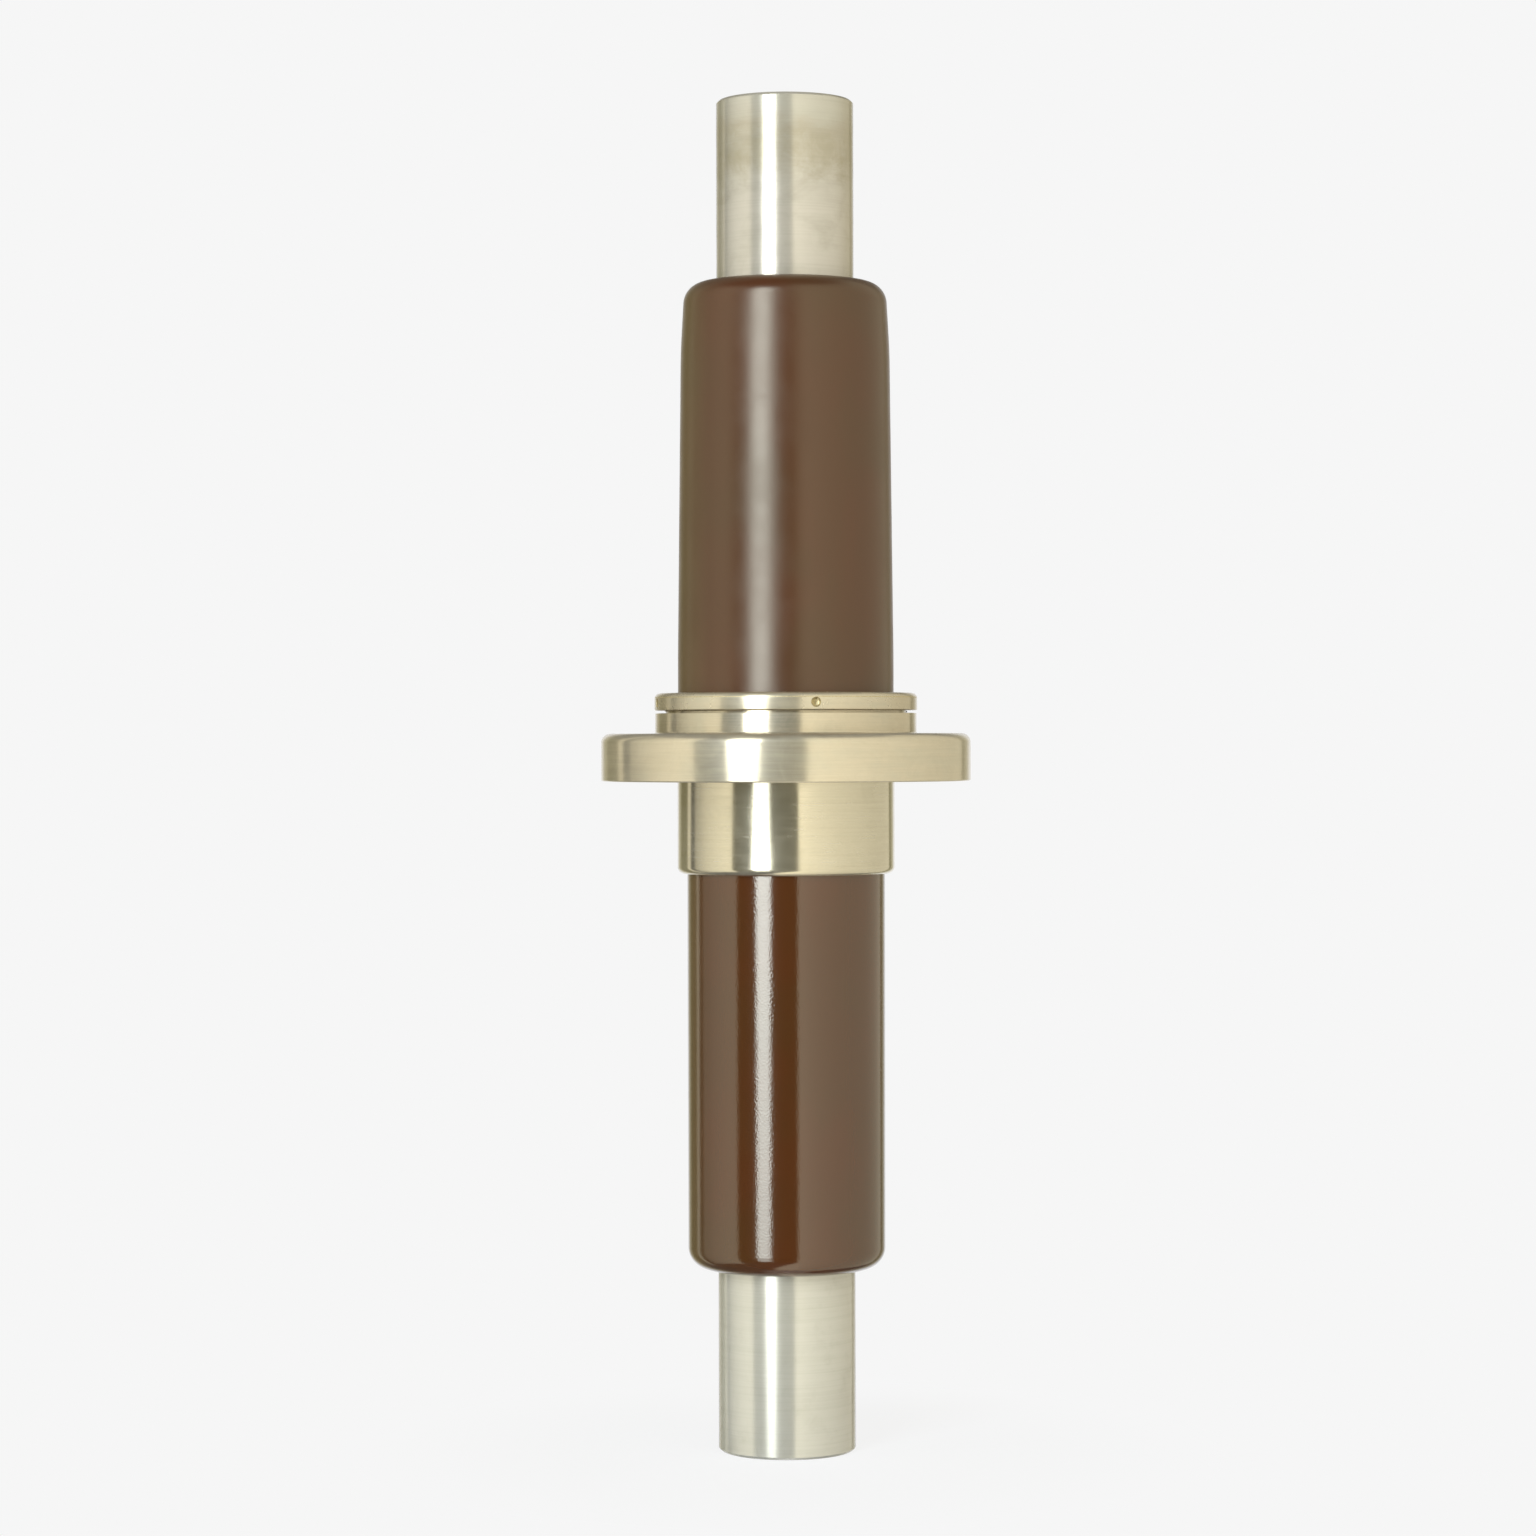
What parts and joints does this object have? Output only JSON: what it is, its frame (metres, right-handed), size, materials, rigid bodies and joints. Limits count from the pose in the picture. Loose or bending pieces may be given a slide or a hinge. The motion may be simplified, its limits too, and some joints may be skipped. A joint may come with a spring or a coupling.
{
  "type": "transformer bushing",
  "caption": "Through bushing for a transformer: round silver-plated conductor in a brown resin body, held in a turned brass flange with a sleeve and a ring nut.",
  "frame": {"origin": "centre of the flange's underside, which is also the centre of the bolt circle", "axes": "+Z along the conductor to the air side (the longer tapered body), -Y towards the viewer, +X to the right"},
  "size_m": [0.2154, 0.2154, 0.7865],
  "materials": {
    "silver_plate": "silver-plated copper, fine turned, slightly tarnished",
    "resin": "brown resin, satin above the flange and glossy below it",
    "brass": "pale brass, fine turned",
    "washer_steel": "plain stainless steel",
    "seal_rubber": "black nitrile rubber",
    "contact_bronze": "spring bronze strip"
  },
  "bodies": {
    "root": {"conductor": "silver_plate", "insulating_body": "resin", "flange": "brass", "retaining_ring": "brass", "thrust_washer": "washer_steel", "collar_gasket_lower": "seal_rubber", "collar_gasket_upper": "seal_rubber", "sleeve_oring_upper": "seal_rubber", "sleeve_oring_lower": "seal_rubber", "earth_contact_band": "contact_bronze"}
  },
  "joints": []
}
